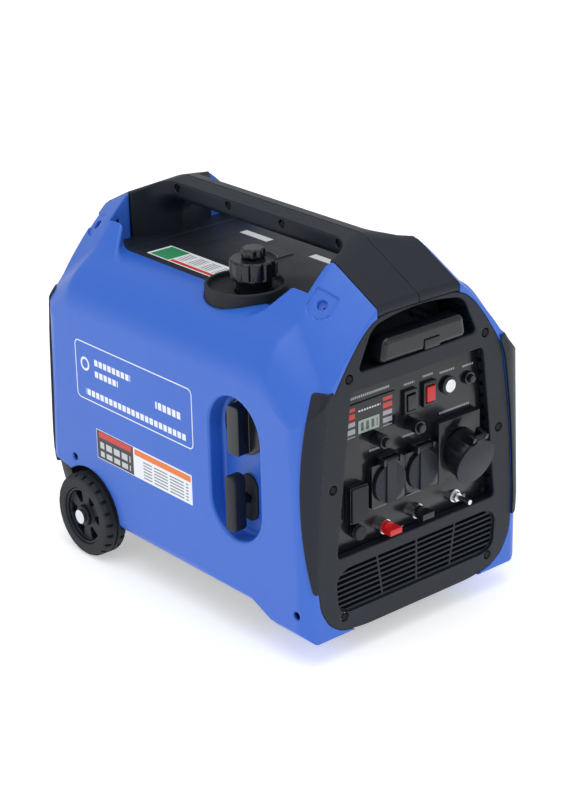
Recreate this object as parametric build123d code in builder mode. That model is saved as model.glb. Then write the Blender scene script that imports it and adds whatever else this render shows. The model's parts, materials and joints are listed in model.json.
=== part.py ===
from build123d import *
from math import cos, radians, sin
import os

# Closed-frame inverter generator, in millimetres. +X is to the right when facing the control
# panel, the panel faces -Y, +Z is up. Pieces are drawn about the middle of the casing, on the
# ground, and moved on saving so that the origin is under the middle of the whole object.
os.makedirs("parts", exist_ok=True)

# ---- driving dimensions -------------------------------------------------------------------
HALF_W = 171.0  # casing half width
HALF_L = 250.0  # casing half length
WALL = 3.5  # moulded wall
CORNER_R = 20.0  # vertical corners of the casing
BASE_Z = 30.0  # lowest edge of the casing at the front
BELLY_Z = 45.0  # lowest edge along the sides
SHOULDER_Z = 335.0  # where a side wall turns into a shoulder
CREST_X = 63.0  # inner edge of each blue shoulder
CREST_Z = 449.0  # top of the shoulders
CREST_FRONT_Y = -179.0
CREST_REAR_Y = 194.0
LIP_FRONT_Z = 411.0  # saddle lip above the front bezel
LIP_REAR_Z = 415.0
DECK_Z = 386.0  # top of the black deck between the shoulders
DECK_HALF_W = 95.0
ROLL_R = 68.0  # roll of the side wall into the deck
CENTRE_Y = 14.487  # the round socket's lid stands out further in front than the pads behind
FIT = 0.3  # gap between separate moulded pieces
RUN = 0.05  # radial clearance of a turning or sliding fit

WHEEL_Y = 167.0
WHEEL_Z = 54.0
WHEEL_R = 54.0
WHEEL_IN = 152.0
WHEEL_OUT = 184.0
RIM_R = 38.0
AXLE_R = 5.0
ARCH_R = 62.0

FRONT_Y = -HALF_L  # face of the front bezel
PANEL_Y = FRONT_Y + 12.0  # face of the control panel
PLATE = 3.0  # control panel thickness

SCOOP_Y = -127.0
SCOOP_Z = 212.0
SCOOP_W = 90.0
SCOOP_H = 176.0
SCOOP_FLOOR_X = -148.0
KNOB_Z = 260.0
GRIP_Z = 171.0

DOOR_Y = (-60.0, 120.0)
DOOR_Z = (120.0, 290.0)
DOOR_TALL = DOOR_Z[1] - DOOR_Z[0] + 12
DOOR_PIN_X = HALF_W - WALL / 2
DOOR_PIN_Y = DOOR_Y[1] - 3

FILLER = (-80.0, -60.0)
SCUPPER = (-86.0, -52.0)
SCUPPER_R = 48.0

TOW_RAIL_X = 48.0
TOW_RAIL_Z = 366.0
TOW_RAIL_R = 6.0
TOW_GRIP_HALF = 66.0

CRANK_Y = 20.0
CRANK_Z = 170.0
BORE_R = 32.0
THROW = 22.0

BEZEL = [
    (62, 404),
    (80, 397),
    (98, 380),
    (115, 354),
    (133, 324),
    (148, 241),
    (156, 94),
    (149, 62),
    (128, 38),
    (103, 30),
]
RECESS = [(105, 323), (114, 241), (127, 126)]
TOW_MOUTH = [(66, 397), (87, 345)]
GRILLE = [(116, 111), (112, 59)]
BEZEL_SCREWS = [(105, 340), (130, 215), (115, 52)]
PANEL_SCREWS = [(99, 317), (116, 135)]
HANDLE_SCREWS_Y = (-140, -41, 58, 157)
SADDLE_FRONT_Y = -172.0  # inner wall of the front saddle
SADDLE_REAR_Y = 197.0  # inner wall of the rear saddle
DECK_FRONT_Y = -140.0
DECK_REAR_Y = 168.0
VALLEY = [
    (-200, -42),
    (-CREST_X, SADDLE_FRONT_Y),
    (CREST_X, SADDLE_FRONT_Y),
    (200, -42),
    (200, 87),
    (CREST_X, SADDLE_REAR_Y),
    (-CREST_X, SADDLE_REAR_Y),
    (-200, 87),
]
SCHUKO_X = (-43.0, 9.0)
SCHUKO_Z = 197.0
ROUND_X = 69.0
ROUND_Z = 207.0
SHOULDER_SCREWS = [(-205, 404), (225, 404)]
SIDE_SCREWS = [(-231, 66), (193, 124)]


# ---- helpers --------------------------------------------------------------------------------
def both_sides(half):
    """A closed outline from the points of its right half, top to bottom."""
    return half + [(-x, z) for x, z in reversed(half)]


def block(x, y, z, mode=Mode.ADD):
    """A box between two limits along each axis."""
    with Locations(((x[0] + x[1]) / 2, (y[0] + y[1]) / 2, (z[0] + z[1]) / 2)):
        Box(x[1] - x[0], y[1] - y[0], z[1] - z[0], mode=mode)


def rod(start, radius, length, axis, mode=Mode.ADD):
    """A round bar that begins at a point and runs along an axis."""
    with Locations(Plane(origin=start, z_dir=axis)):
        Cylinder(radius, length, align=(Align.CENTER, Align.CENTER, Align.MIN), mode=mode)


def ring(start, outer, inner, length, axis):
    """A plain tube that begins at a point and runs along an axis."""
    rod(start, outer, length, axis)
    rod(start, inner, length, axis, mode=Mode.SUBTRACT)


def slab(outline, y, depth, mode=Mode.ADD, grow=0.0):
    """A flat plate facing -Y: an outline in X and Z, from y to y + depth."""
    with BuildSketch(Plane.XZ.offset(-y - depth)) as face:
        Polygon(*outline, align=None)
        if grow:
            offset(amount=grow, kind=Kind.INTERSECTION, mode=Mode.REPLACE)
    extrude(face.sketch, amount=depth, mode=mode)


def inside_plan():
    """Trims the part being built to the rounded plan of the casing."""
    with BuildSketch(Plane.XY) as plan:
        RectangleRounded(2 * HALF_W, 2 * HALF_L, CORNER_R)
    extrude(plan.sketch, amount=CREST_Z, mode=Mode.INTERSECT)


def save(part, name):
    """Moves a finished piece so that the whole object is centred, and writes it as its own file."""
    placed = part.moved(Location((0, CENTRE_Y, 0)))
    placed.label = name
    export_step(placed, f"parts/{name}.step")


LEFT = (-1, 0, 0)
RIGHT = (1, 0, 0)
FORWARD = (0, -1, 0)
BACK = (0, 1, 0)
UP = (0, 0, 1)


# ---- casing ---------------------------------------------------------------------------------
def casing_form(inset):
    """The closed outer form of the casing, drawn in by an inset on every face."""
    foot = 14.0
    shoulders = [
        (0, CREST_Z),
        (CREST_X, CREST_Z),
        (HALF_W, SHOULDER_Z),
        (HALF_W, BASE_Z + foot),
        (HALF_W - foot, BASE_Z),
    ]
    side_view = [
        (-HALF_L, BASE_Z),
        (-HALF_L, LIP_FRONT_Z),
        (CREST_FRONT_Y, CREST_Z),
        (CREST_REAR_Y, CREST_Z),
        (HALF_L, LIP_REAR_Z),
        (HALF_L, BELLY_Z),
        (-150, BELLY_Z),
        (-185, BASE_Z),
    ]
    with BuildPart() as form:
        with BuildSketch(Plane.XZ):
            Polygon(*both_sides(shoulders), align=None)
            offset(amount=-inset, kind=Kind.INTERSECTION, mode=Mode.REPLACE)
        extrude(amount=HALF_L, both=True)
        # the valley between the front and rear shoulders, narrower towards the sides
        with BuildSketch(Plane.XY.offset(320)):
            Polygon(*VALLEY, align=None)
            offset(amount=inset, kind=Kind.INTERSECTION, mode=Mode.REPLACE)
        extrude(amount=CREST_Z - 300, mode=Mode.SUBTRACT)
        # the body under the valley, with its rolled upper edges
        with BuildSketch(Plane.XZ) as core:
            Rectangle(2 * (HALF_W - inset), DECK_Z - BASE_Z - 2 * inset)
            fillet(core.vertices().group_by(Axis.Y)[-1], ROLL_R - inset)
            fillet(core.vertices().group_by(Axis.Y)[0], 14)
        core_middle = (DECK_Z + BASE_Z) / 2
        extrude(core.sketch.moved(Location((0, 0, core_middle))), amount=HALF_L, both=True)
        with BuildSketch(Plane.YZ):
            Polygon(*side_view, align=None)
            offset(amount=-inset, kind=Kind.INTERSECTION, mode=Mode.REPLACE)
        extrude(amount=HALF_W, both=True, mode=Mode.INTERSECT)
        with BuildSketch(Plane.XY):
            RectangleRounded(2 * (HALF_W - inset), 2 * (HALF_L - inset), CORNER_R - inset)
        extrude(amount=CREST_Z + 20, mode=Mode.INTERSECT)
    return form.part


CASING = casing_form(0.001)
CAVITY = casing_form(WALL)


def side_shell(side):
    """One blue half shell. side is -1 for the left and 1 for the right."""
    with BuildPart() as shell:
        add(CASING)
        add(CAVITY, mode=Mode.SUBTRACT)
        for y in (FRONT_Y - 5, HALF_L - 40):
            slab(both_sides(BEZEL), y, 45, mode=Mode.SUBTRACT, grow=FIT)
        block((-CREST_X, CREST_X), (-260, 260), (300, 460), mode=Mode.SUBTRACT)
        deck_y = (DECK_FRONT_Y - FIT, DECK_REAR_Y + FIT)
        block((-DECK_HALF_W, DECK_HALF_W), deck_y, (360, DECK_Z + 1), mode=Mode.SUBTRACT)
        block((-98, 98), (-260, 260), (20, 70), mode=Mode.SUBTRACT)
        block((-160, 160), (-150, 260), (20, 60), mode=Mode.SUBTRACT)
        # wheel arch, open behind the wheel
        inner = side * 140
        rod((inner, WHEEL_Y, WHEEL_Z), ARCH_R, 40, (side, 0, 0), mode=Mode.SUBTRACT)
        limits = sorted((side * 120, side * 180))
        block(limits, (WHEEL_Y + 18, 260), (0, 106), mode=Mode.SUBTRACT)
        limits = sorted((side * 130, side * 180))
        block(limits, (WHEEL_Y - ARCH_R, 260), (0, WHEEL_Z), mode=Mode.SUBTRACT)
        # screw holes on the shoulders and low on the side
        for y, z in SHOULDER_SCREWS:
            rod((side * 80, y, z - 22), 6, 80, (side, 0, 1.06), mode=Mode.SUBTRACT)
        for y, z in SIDE_SCREWS:
            rod((side * 160, y, z), 5, 20, (side, 0, 0), mode=Mode.SUBTRACT)
        if side < 0:
            # recess for the run knob and the recoil grip, and the round filler opening
            with BuildSketch(Plane.YZ.offset(SCOOP_FLOOR_X + WALL)) as cup:
                with Locations((SCOOP_Y, SCOOP_Z)):
                    SlotOverall(SCOOP_H + 2 * WALL, SCOOP_W + 2 * WALL, rotation=90)
            extrude(cup.sketch, amount=SCOOP_FLOOR_X + WALL - (1 - HALF_W), dir=LEFT)
            with BuildSketch(Plane.YZ.offset(SCOOP_FLOOR_X)) as hollow:
                with Locations((SCOOP_Y, SCOOP_Z)):
                    SlotOverall(SCOOP_H, SCOOP_W, rotation=90)
            extrude(hollow.sketch, amount=40, dir=LEFT, mode=Mode.SUBTRACT)
            for z in (KNOB_Z, GRIP_Z):
                rod((SCOOP_FLOOR_X - 5, SCOOP_Y, z), 7, 15, RIGHT, mode=Mode.SUBTRACT)
            rod((*SCUPPER, 350), SCUPPER_R + FIT, 60, UP, mode=Mode.SUBTRACT)
            block((0, 200), (-300, 300), (0, 500), mode=Mode.SUBTRACT)
        else:
            # opening for the service door, with a hole for each of its hinge pins
            block((160, 175), DOOR_Y, DOOR_Z, mode=Mode.SUBTRACT)
            rod((DOOR_PIN_X, DOOR_PIN_Y, DOOR_Z[0] - 6), 1 + RUN, DOOR_TALL, UP, mode=Mode.SUBTRACT)
            block((-200, 0), (-300, 300), (0, 500), mode=Mode.SUBTRACT)
    return shell.part.solids().sort_by(SortBy.VOLUME)[-1]


left_side_shell = Part([side_shell(-1)])
save(left_side_shell, "left_side_shell")
right_side_shell = Part([side_shell(1)])
save(right_side_shell, "right_side_shell")

with BuildPart() as service_door:
    block((HALF_W - WALL, HALF_W), (DOOR_Y[0] + 1, DOOR_Y[1] - 1.5), (DOOR_Z[0] + 1, DOOR_Z[1] - 1))
    rod((DOOR_PIN_X, DOOR_PIN_Y, DOOR_Z[0] - 5), 1, DOOR_TALL - 2, UP)
    block((HALF_W - 1, HALF_W + 1), (DOOR_Y[0] + 5, DOOR_Y[0] + 17), (195, 215), mode=Mode.SUBTRACT)
save(service_door.part, "service_door")

# Saddles and carry handle: two black clamshell halves that meet at x = 0
BAR_HALF_W = 21.0
BAR_LOW_Z = 436.0
BAR_HIGH_Z = 466.0

def top_cover(side):
    """One half of the carry handle with its two saddles."""
    span = sorted((side * 0.1, side * (CREST_X - FIT)))
    grip_span = sorted((side * 0.1, side * BAR_HALF_W))
    with BuildPart() as cover:
        add(CASING)
        add(CAVITY, mode=Mode.SUBTRACT)
        block(span, (-260, 260), (DECK_Z + FIT, 460), mode=Mode.INTERSECT)
        for y in (FRONT_Y - 5, HALF_L - 40):
            slab(both_sides(BEZEL), y, 45, mode=Mode.SUBTRACT, grow=FIT)
        block(grip_span, (SADDLE_FRONT_Y - WALL, SADDLE_REAR_Y + WALL), (BAR_LOW_Z, BAR_HIGH_Z))
        # curved webs that spread the bar into each saddle
        with BuildSketch(Plane.XY.offset(BAR_LOW_Z)) as webs:
            for y, toward in ((SADDLE_FRONT_Y, 1), (SADDLE_REAR_Y, -1)):
                with BuildLine():
                    far = (side * BAR_HALF_W, y + toward * 42)
                    near = (side * (CREST_X - FIT), y)
                    RadiusArc(far, near, side * toward * 60)
                    Polyline(near, (side * BAR_HALF_W, y), far)
                make_face()
        extrude(webs.sketch, amount=CREST_Z - BAR_LOW_Z)
        for y in HANDLE_SCREWS_Y:
            rod((side * (BAR_HALF_W - 3), y, 449), 4.5, 5, (side, 0, 0), mode=Mode.SUBTRACT)
    return cover.part


top_cover_left = top_cover(-1)
save(top_cover_left, "top_cover_left")
top_cover_right = top_cover(1)
save(top_cover_right, "top_cover_right")

with BuildPart() as top_deck:
    edge = DECK_HALF_W - FIT
    block((-edge, edge), (DECK_FRONT_Y, DECK_REAR_Y), (DECK_Z - WALL, DECK_Z))
    under_saddle = (SADDLE_FRONT_Y - WALL, SADDLE_REAR_Y + WALL)
    block((-CREST_X + FIT, CREST_X - FIT), under_saddle, (DECK_Z - WALL, DECK_Z))
    block((-40, 40), (10, 120), (DECK_Z, DECK_Z + 1.5))
    rod((*SCUPPER, 370), SCUPPER_R + FIT, 30, UP, mode=Mode.SUBTRACT)
save(top_deck.part, "top_deck")

with BuildPart() as fuel_scupper:
    rod((*SCUPPER, 376), SCUPPER_R, 22, UP)
    rod((*SCUPPER, 388), SCUPPER_R - 2.5, 20, UP, mode=Mode.SUBTRACT)
    rod((*SCUPPER, 360), SCUPPER_R - 2.5, 25, UP, mode=Mode.SUBTRACT)
    rod((*FILLER, 360), 22.5, 40, UP, mode=Mode.SUBTRACT)
save(fuel_scupper.part, "fuel_scupper")

# Front bezel, with the panel recess, the tow-grip pocket and the intake grille
POCKET_BACK_Y = -192.0
with BuildPart() as front_bezel:
    slab(both_sides(BEZEL), FRONT_Y, 22)
    slab(both_sides(BEZEL), FRONT_Y + 4, 30, mode=Mode.SUBTRACT, grow=-3)
    inside_plan()
    slab(both_sides(RECESS), FRONT_Y, 12, grow=2.5)
    slab(both_sides(RECESS), FRONT_Y - 1, 14, mode=Mode.SUBTRACT)
    slab(both_sides(TOW_MOUTH), FRONT_Y, POCKET_BACK_Y - FRONT_Y + 2.5, grow=2.5)
    slab(both_sides(TOW_MOUTH), FRONT_Y - 1, POCKET_BACK_Y - FRONT_Y + 1, mode=Mode.SUBTRACT)
    for x in (-TOW_RAIL_X, TOW_RAIL_X):
        rod((x, POCKET_BACK_Y - 5, TOW_RAIL_Z), TOW_RAIL_R + FIT, 12, BACK, mode=Mode.SUBTRACT)
    with Locations((0, FRONT_Y + 2, (GRILLE[0][1] + GRILLE[1][1]) / 2)):
        with GridLocations(56.5, 0, 4, 1):
            with Locations(Plane.XZ):
                with GridLocations(0, 5.6, 1, 9):
                    Box(54, 3.6, 10, mode=Mode.SUBTRACT)
    for x, z in BEZEL_SCREWS:
        for side in (-1, 1):
            rod((side * x, FRONT_Y - 1, z), 5.5, 3.5, BACK, mode=Mode.SUBTRACT)
save(front_bezel.part, "front_bezel")

with BuildPart() as control_panel:
    slab(both_sides(RECESS), PANEL_Y, PLATE, grow=2.4)
    for x in SCHUKO_X:
        rod((x, PANEL_Y - 1, SCHUKO_Z), 22 + FIT, 6, BACK, mode=Mode.SUBTRACT)
    rod((ROUND_X, PANEL_Y - 1, ROUND_Z), 27 + FIT, 6, BACK, mode=Mode.SUBTRACT)
save(control_panel.part, "control_panel")

# Rear cover with its louvres and the round opening for the tail pipe
TAIL_X = 62.0
TAIL_Z = 250.0
with BuildPart() as rear_cover:
    slab(both_sides(BEZEL), HALF_L - 22, 22)
    slab(both_sides(BEZEL), HALF_L - 34, 30, mode=Mode.SUBTRACT, grow=-3)
    inside_plan()
    with Locations((-52, HALF_L, 160)):
        with Locations(Plane.XZ):
            with GridLocations(70, 10, 2, 16):
                Box(62, 3.8, 14, mode=Mode.SUBTRACT)
    rod((TAIL_X, HALF_L - 8, TAIL_Z), 24, 12, BACK, mode=Mode.SUBTRACT)
    for x, z in BEZEL_SCREWS:
        for side in (-1, 1):
            rod((side * x, HALF_L + 1, z), 5.5, 3.5, FORWARD, mode=Mode.SUBTRACT)
save(rear_cover.part, "rear_cover")

# Base tray: floor, two sills, a cross member over the front feet and the axle brackets
FLOOR_Z = 62.0
FLOOR_TOP = 66.0
FOOT_X = 80.0
FOOT_Y = -172.0
with BuildPart() as base_tray:
    block((-160, 160), (-214, 100), (FLOOR_Z, FLOOR_TOP))
    block((-138, 138), (100, 226), (FLOOR_Z, FLOOR_TOP))
    for side in (-1, 1):
        block(sorted((side * 84, side * 92)), (-214, 226), (36, FLOOR_Z))
        bracket = sorted((side * 122, side * 138))
        block(bracket, (WHEEL_Y - 16, WHEEL_Y + 16), (WHEEL_Z - 12, FLOOR_Z))
    block((-92, 92), (FOOT_Y - 14, FOOT_Y + 14), (36, FLOOR_Z))
    rod((-150, WHEEL_Y, WHEEL_Z), AXLE_R + RUN, 300, RIGHT, mode=Mode.SUBTRACT)
save(base_tray.part, "base_tray")

with BuildPart() as rubber_feet:
    for x in (-FOOT_X, FOOT_X):
        with Locations((x, FOOT_Y, 18)):
            Cone(18, 14, 36)
save(rubber_feet.part, "rubber_feet")

# Four corner pads, each wrapped round a vertical corner of the casing
PAD_LOW_Z = 95.0
PAD_HIGH_Z = 331.0
PAD_X = 146.0
PAD_Y = 229.0
PAD_THICK = 3.0
with BuildPart() as corner_pads:
    with BuildSketch(Plane.XY.offset(PAD_LOW_Z)):
        RectangleRounded(2 * (HALF_W + PAD_THICK), 2 * (HALF_L + PAD_THICK), CORNER_R + PAD_THICK)
        RectangleRounded(2 * (HALF_W + 0.05), 2 * (HALF_L + 0.05), CORNER_R, mode=Mode.SUBTRACT)
        Rectangle(2 * PAD_X, 600, mode=Mode.SUBTRACT)
        Rectangle(600, 2 * PAD_Y, mode=Mode.SUBTRACT)
    extrude(amount=PAD_HIGH_Z - PAD_LOW_Z)
save(corner_pads.part, "corner_pads")

with BuildPart() as casing_screws:
    for x, z in BEZEL_SCREWS:
        for side in (-1, 1):
            rod((side * x, FRONT_Y + 0.5, z), 4.2, 2, BACK)
            rod((side * x, HALF_L - 0.5, z), 4.2, 2, FORWARD)
    for x, z in PANEL_SCREWS:
        for side in (-1, 1):
            rod((side * x, PANEL_Y, z), 3.5, 1.6, FORWARD)
    for y in HANDLE_SCREWS_Y:
        for side in (-1, 1):
            rod((side * (BAR_HALF_W - 3), y, 449), 3.5, 2, (side, 0, 0))
save(casing_screws.part, "casing_screws")

# ---- wheels -----------------------------------------------------------------------------------
with BuildPart() as wheel_axle:
    rod((-WHEEL_OUT - 0.5, WHEEL_Y, WHEEL_Z), AXLE_R, 2 * WHEEL_OUT + 1, RIGHT)
    for side in (-1, 1):
        rod((side * (WHEEL_OUT + 0.5), WHEEL_Y, WHEEL_Z), 9, 3, (side, 0, 0))
        rod((side * 139, WHEEL_Y, WHEEL_Z), 8, WHEEL_IN - 139.5, (side, 0, 0))
save(wheel_axle.part, "wheel_axle")

WHEEL_WIDE = WHEEL_OUT - WHEEL_IN


def wheel(side):
    """One solid wheel with a spoked disc and a blocked tread."""
    start = (side * WHEEL_IN, WHEEL_Y, WHEEL_Z)
    out = (side, 0, 0)
    with BuildPart() as disc:
        rod(start, WHEEL_R, WHEEL_WIDE, out)
        rod(start, RIM_R - 4, 10, out, mode=Mode.SUBTRACT)
        rod((side * (WHEEL_OUT - 5), WHEEL_Y, WHEEL_Z), RIM_R - 4, 5, out, mode=Mode.SUBTRACT)
        with Locations(Plane(origin=start, x_dir=UP, z_dir=out)):
            with PolarLocations(23, 6):
                Box(16, 15, 4 * WHEEL_WIDE, mode=Mode.SUBTRACT)
        rod(start, 13, WHEEL_WIDE, out)
        rod(start, AXLE_R + RUN, WHEEL_WIDE, out, mode=Mode.SUBTRACT)
        with Locations(Plane(origin=start, x_dir=UP, z_dir=out)):
            with PolarLocations(WHEEL_R + 1, 24):
                Box(6, 4, 22, mode=Mode.SUBTRACT)
    return disc.part


save(wheel(-1), "left_wheel")
save(wheel(1), "right_wheel")

# ---- telescopic tow handle ----------------------------------------------------------------------
GRIP_FRONT_Y = -260.0
RAIL_REAR_Y = 150.0
BUTTON_X = 10.0
BUTTON_Z = 356.0
with BuildPart() as tow_grip:
    block((-TOW_GRIP_HALF, TOW_GRIP_HALF), (GRIP_FRONT_Y, -232), (349, 377))
    fillet(tow_grip.edges().filter_by(Axis.X), 6)
    pocket_y = (GRIP_FRONT_Y - 1, GRIP_FRONT_Y + 9)
    block((BUTTON_X - 12, BUTTON_X + 12), pocket_y, (350, 362), mode=Mode.SUBTRACT)
save(tow_grip.part, "tow_grip")

with BuildPart() as tow_rails:
    for x in (-TOW_RAIL_X, TOW_RAIL_X):
        rod((x, -232, TOW_RAIL_Z), TOW_RAIL_R, RAIL_REAR_Y + 232, BACK)
save(tow_rails.part, "tow_rails")

with BuildPart() as tow_release_button:
    x_limits = (BUTTON_X - 12 + FIT, BUTTON_X + 12 - FIT)
    block(x_limits, (GRIP_FRONT_Y - 1.5, GRIP_FRONT_Y + 5), (350 + FIT, 362 - FIT))
save(tow_release_button.part, "tow_release_button")

with BuildPart() as tow_guides:
    for x in (-TOW_RAIL_X, TOW_RAIL_X):
        ring((x, POCKET_BACK_Y + 2.5, TOW_RAIL_Z), 8, TOW_RAIL_R + RUN, 345, BACK)
save(tow_guides.part, "tow_guides")

# ---- fuel ---------------------------------------------------------------------------------------
TANK_LOW_Z = 306.0
TANK_HIGH_Z = 352.0
with BuildPart() as fuel_tank:
    block((-130, 130), (-120, 170), (TANK_LOW_Z, TANK_HIGH_Z))
    fillet(fuel_tank.edges().filter_by(Axis.Z), 20)
    fillet(fuel_tank.faces().sort_by(Axis.Z)[0].edges(), 8)
    rod((*FILLER, TANK_HIGH_Z - 10), 18, 20, UP, mode=Mode.SUBTRACT)
save(fuel_tank.part, "fuel_tank")

NECK_R = 21.0
NECK_TOP = 421.0
with BuildPart() as filler_neck:
    ring((*FILLER, TANK_HIGH_Z), NECK_R, 18, NECK_TOP - TANK_HIGH_Z, UP)
save(filler_neck.part, "filler_neck")

CAP_LOW = 404.0
CAP_HIGH = 428.0
with BuildPart() as cap_gasket:
    ring((*FILLER, NECK_TOP), 20.5, 17, 1.8, UP)
save(cap_gasket.part, "cap_gasket")

with BuildPart() as fuel_cap:
    rod((*FILLER, CAP_LOW), 28, CAP_HIGH - CAP_LOW, UP)
    rod((*FILLER, CAP_LOW - 1), NECK_R + 0.6, NECK_TOP + 3 - CAP_LOW, UP, mode=Mode.SUBTRACT)
    with Locations((*FILLER, CAP_HIGH - 12)):
        with PolarLocations(29.5, 12):
            Cylinder(2.5, 30, mode=Mode.SUBTRACT)
    rod((*FILLER, CAP_HIGH - 3), 5 + RUN, 10, UP, mode=Mode.SUBTRACT)
save(fuel_cap.part, "fuel_cap")

with BuildPart() as vent_knob:
    rod((*FILLER, CAP_HIGH - 2.5), 5, 4, UP)
    rod((*FILLER, CAP_HIGH + FIT), 14, 12, UP)
    with Locations((*FILLER, CAP_HIGH + 8)):
        with PolarLocations(15.5, 8):
            Cylinder(3, 30, mode=Mode.SUBTRACT)
save(vent_knob.part, "vent_knob")

# ---- run knob and recoil starter ------------------------------------------------------------------
with BuildPart() as run_knob:
    rod((SCOOP_FLOOR_X + 10, SCOOP_Y, KNOB_Z), 5, 12.5, LEFT)
    rod((SCOOP_FLOOR_X - 2, SCOOP_Y, KNOB_Z), 33, 6, LEFT)
    block((-HALF_W - 1, SCOOP_FLOOR_X - 8), (SCOOP_Y - 10, SCOOP_Y + 10), (KNOB_Z - 30, KNOB_Z + 30))
    fillet(run_knob.edges().filter_by(Axis.X).filter_by(GeomType.LINE), 4)
save(run_knob.part, "run_knob")

with BuildPart() as recoil_grip:
    block((-179, -161), (SCOOP_Y - 9, SCOOP_Y + 9), (GRIP_Z - 35, GRIP_Z + 35))
    fillet(recoil_grip.edges().filter_by(Axis.X), 7)
    rod((-161, SCOOP_Y, GRIP_Z), 5, 161 + SCOOP_FLOOR_X - 1, RIGHT)
save(recoil_grip.part, "recoil_grip")

with BuildPart() as recoil_plate:
    with BuildSketch(Plane.YZ.offset(SCOOP_FLOOR_X)) as oval:
        with Locations((SCOOP_Y, GRIP_Z)):
            SlotOverall(58, 30, rotation=90)
            Circle(6, mode=Mode.SUBTRACT)
    extrude(oval.sketch, amount=3, dir=LEFT)
save(recoil_plate.part, "recoil_plate")

HOUSING_X = -124.0
with BuildPart() as recoil_housing:
    rod((HOUSING_X, CRANK_Y, CRANK_Z), 78, 26, RIGHT)
    rod((HOUSING_X + 3, CRANK_Y, CRANK_Z), 75, 24, RIGHT, mode=Mode.SUBTRACT)
    rod((HOUSING_X + 3, CRANK_Y, CRANK_Z), 6, 14, RIGHT)
save(recoil_housing.part, "recoil_housing")

REEL_R = 50.0
with BuildPart() as recoil_reel:
    rod((HOUSING_X + 4, CRANK_Y, CRANK_Z), REEL_R + 4, 12, RIGHT)
    with BuildSketch(Plane.YZ.offset(HOUSING_X + 7)) as groove:
        with Locations((CRANK_Y, CRANK_Z)):
            Circle(REEL_R + 5)
            Circle(REEL_R - 6, mode=Mode.SUBTRACT)
    extrude(groove.sketch, amount=6, mode=Mode.SUBTRACT)
    rod((HOUSING_X, CRANK_Y, CRANK_Z), 6 + RUN, 30, RIGHT, mode=Mode.SUBTRACT)
save(recoil_reel.part, "recoil_reel")

# ---- engine and alternator ------------------------------------------------------------------------
with BuildPart() as engine_block:
    block((-48, 64), (-40, 80), (100, 222))
    rod((8, CRANK_Y, 216), BORE_R + 8, 78, UP)
    for level in range(232, 288, 8):
        rod((8, CRANK_Y, level), BORE_R + 20, 3, UP)
    block((-38, 54), (-30, 70), (126, 214), mode=Mode.SUBTRACT)
    rod((8, CRANK_Y, 200), BORE_R, 90, UP, mode=Mode.SUBTRACT)
    rod((-60, CRANK_Y, CRANK_Z), 12 + RUN, 130, RIGHT, mode=Mode.SUBTRACT)
    for x in (-36, 52):
        for y in (-28, 68):
            rod((x, y, FLOOR_TOP), 10, 36, UP)
save(engine_block.part, "engine_block")

with BuildPart() as crankshaft:
    rod((-96, CRANK_Y, CRANK_Z), 12, 84, RIGHT)
    rod((28, CRANK_Y, CRANK_Z), 12, 42, RIGHT)
    rod((-12, CRANK_Y, CRANK_Z + THROW), 9, 40, RIGHT)
    for x in (-18, 22):
        rod((x, CRANK_Y, CRANK_Z), 33, 8, RIGHT)
save(crankshaft.part, "crankshaft")

with BuildPart() as piston:
    rod((8, CRANK_Y, 232), BORE_R - RUN, 34, UP)
    rod((8, CRANK_Y, 232), BORE_R - 5, 26, UP, mode=Mode.SUBTRACT)
save(piston.part, "piston")

with BuildPart() as flywheel_fan:
    rod((-92, CRANK_Y, CRANK_Z), 70, 36, RIGHT)
    rod((-86, CRANK_Y, CRANK_Z), 62, 40, RIGHT, mode=Mode.SUBTRACT)
    rod((-92, CRANK_Y, CRANK_Z), 20, 14, RIGHT)
    rod((-100, CRANK_Y, CRANK_Z), 12, 60, RIGHT, mode=Mode.SUBTRACT)
save(flywheel_fan.part, "flywheel_fan")

with BuildPart() as stator:
    rod((-76, CRANK_Y, CRANK_Z), 56, 20, RIGHT)
    rod((-56, CRANK_Y, CRANK_Z), 34, 8, RIGHT)
    rod((-80, CRANK_Y, CRANK_Z), 26, 40, RIGHT, mode=Mode.SUBTRACT)
    with Locations(Plane(origin=(-66, CRANK_Y, CRANK_Z), z_dir=RIGHT)):
        with PolarLocations(52, 12):
            Box(14, 9, 30, mode=Mode.SUBTRACT)
save(stator.part, "stator")

with BuildPart() as muffler:
    block((-30, 100), (112, 206), (200, 296))
    fillet(muffler.edges().filter_by(Axis.X), 18)
    block((-27, 97), (122, 196), (210, 286), mode=Mode.SUBTRACT)
    rod((40, 80.2, 262), 14, 34, BACK)
    rod((TAIL_X, 200, TAIL_Z), 15, 53, BACK)
    rod((TAIL_X, 215, TAIL_Z), 11, 40, BACK, mode=Mode.SUBTRACT)
save(muffler.part, "muffler")

with BuildPart() as carburettor:
    block((-12, 24), (-78, -44), (236, 280))
    rod((6, -44, 258), 12, 12, BACK)
    rod((6, -78, 258), 14, 10, FORWARD)
save(carburettor.part, "carburettor")

with BuildPart() as air_filter_box:
    block((-50, 62), (-160, -88), (214, 298))
    fillet(air_filter_box.edges().filter_by(Axis.Z), 10)
save(air_filter_box.part, "air_filter_box")

with BuildPart() as battery:
    block((78, 148), (-190, -110), (FLOOR_TOP, 160))
    for y in (-178, -122):
        block((84, 96), (y - 6, y + 6), (160, 168))
save(battery.part, "battery")

with BuildPart() as inverter_module:
    block((-70, 60), (-196, -96), (FLOOR_TOP, 92))
    for x in range(-65, 60, 10):
        block((x, x + 3), (-196, -96), (92, 112))
save(inverter_module.part, "inverter_module")

# ---- control panel fittings -------------------------------------------------------------------------
ROCKERS = {"idle_rocker": (-5.0, 283.0), "main_rocker": (25.0, 285.0)}
START = (56.0, 286.0)
RESET = (89.0, 286.0)
BREAKERS = {"breaker_button_left": (-56.0, 253.0), "breaker_button_right": (-3.0, 255.0)}

with BuildPart() as display_module:
    block((-105, -27), (PANEL_Y - 2, PANEL_Y), (262, 303))
    block((-84, -52), (PANEL_Y - 3, PANEL_Y - 2), (266, 282))
save(display_module.part, "display_module")

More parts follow.
